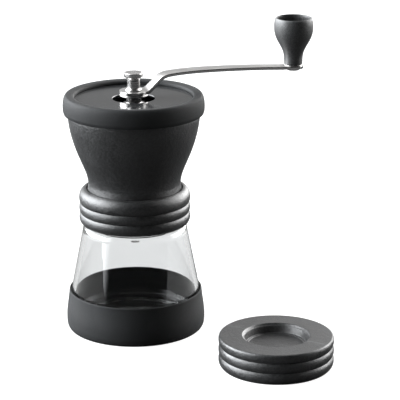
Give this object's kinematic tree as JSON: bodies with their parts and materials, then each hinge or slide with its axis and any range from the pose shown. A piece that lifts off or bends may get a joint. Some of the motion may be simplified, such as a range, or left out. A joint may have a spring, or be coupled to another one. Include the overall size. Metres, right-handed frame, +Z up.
{
  "type": "hand crank coffee grinder",
  "caption": "Hand coffee mill: glass jar in a soft cup base, ribbed screw collar, flared hopper with lid, conical ceramic burrs, bent strip crank with a hollow knob, and a screw storage lid.",
  "frame": {"origin": "centre of the underside of the rubber base, on the surface that the mill stands on", "axes": "+Z up along the shaft, +X from the shaft towards the knob, and the storage lid lies on the same surface on the -Y side"},
  "size_m": [0.1695, 0.1798, 0.2057],
  "materials": {
    "soft_rubber": "matte, faintly powdery",
    "clear_glass": "clear, polished",
    "seal_rubber": "matte",
    "satin_plastic": "fine satin grain",
    "knob_plastic": "fine matte grain",
    "bush_plastic": "smooth",
    "steel": "plain bright steel",
    "chrome": "polished",
    "brushed_chrome": "brushed along its length, bright edges",
    "ceramic": "unglazed",
    "smoked_plastic": "smoked, glossy"
  },
  "bodies": {
    "jar": {"rubber_base": "soft_rubber", "glass_jar": "clear_glass"},
    "seal": {"jar_seal": "seal_rubber"},
    "head": {"screw_collar": "satin_plastic", "hopper": "satin_plastic", "upper_bush": "bush_plastic", "lower_bush": "bush_plastic", "burr_carrier": "satin_plastic", "carrier_screw_1": "steel", "carrier_screw_2": "steel", "carrier_screw_3": "steel", "outer_burr": "ceramic"},
    "drive": {"drive_washer": "steel"},
    "adjuster": {"adjust_nut": "chrome"},
    "spindle": {"shaft": "steel", "burr_core": "bush_plastic", "inner_burr": "ceramic", "end_washer": "steel", "end_nut": "steel", "spring_washer": "steel", "spring": "steel", "lock_ring": "chrome", "crank_arm": "brushed_chrome", "knob_stud": "steel", "knob_washer": "steel"},
    "thumb_nut": {"crank_nut": "chrome"},
    "knob": {"knob": "knob_plastic"},
    "lid": {"lid_rim": "soft_rubber", "lid_window": "smoked_plastic"},
    "storage_lid": {"storage_lid": "satin_plastic", "storage_lid_seal": "seal_rubber"}
  },
  "joints": [
    {"name": "head_lift", "type": "slide", "parent": "jar", "child": "seal", "axis": [0, 0, 1], "range_m": [0, 0.0063]},
    {"name": "head_unscrew", "type": "hinge", "parent": "seal", "child": "head", "pos_m": [0, 0, 0.09], "axis": [0, 0, 1], "range_deg": [0, 450]},
    {"name": "crank_spin", "type": "hinge", "parent": "head", "child": "drive", "pos_m": [0, 0, 0.151], "axis": [0, 0, 1], "continuous": true},
    {"name": "adjust_turn", "type": "hinge", "parent": "drive", "child": "adjuster", "pos_m": [0, 0, 0.155], "axis": [0, 0, 1], "range_deg": [-288.2, 0]},
    {"name": "burr_gap", "type": "slide", "parent": "drive", "child": "spindle", "axis": [0, 0, 1], "range_m": [0, 0.0008], "deforming": ["spring"]},
    {"name": "crank_nut_turn", "type": "hinge", "parent": "spindle", "child": "thumb_nut", "pos_m": [0, 0, 0.165], "axis": [0, 0, 1], "continuous": true},
    {"name": "knob_spin", "type": "hinge", "parent": "spindle", "child": "knob", "pos_m": [0.1096, 0, 0.18], "axis": [0, 0, 1], "continuous": true},
    {"name": "lid_lift", "type": "slide", "parent": "head", "child": "lid", "axis": [0, 0, 1], "range_m": [0, 0.006]},
    {"name": "storage_lid_lift", "type": "slide", "parent": "jar", "child": "storage_lid", "axis": [0, 0, 1], "range_m": [0, 0.1]}
  ],
  "couplings": [
    {"joint": "head_lift", "follows": "head_unscrew", "m_per_rad": 0.00079577},
    {"joint": "adjust_turn", "follows": "burr_gap", "rad_per_m": -6283.2}
  ]
}
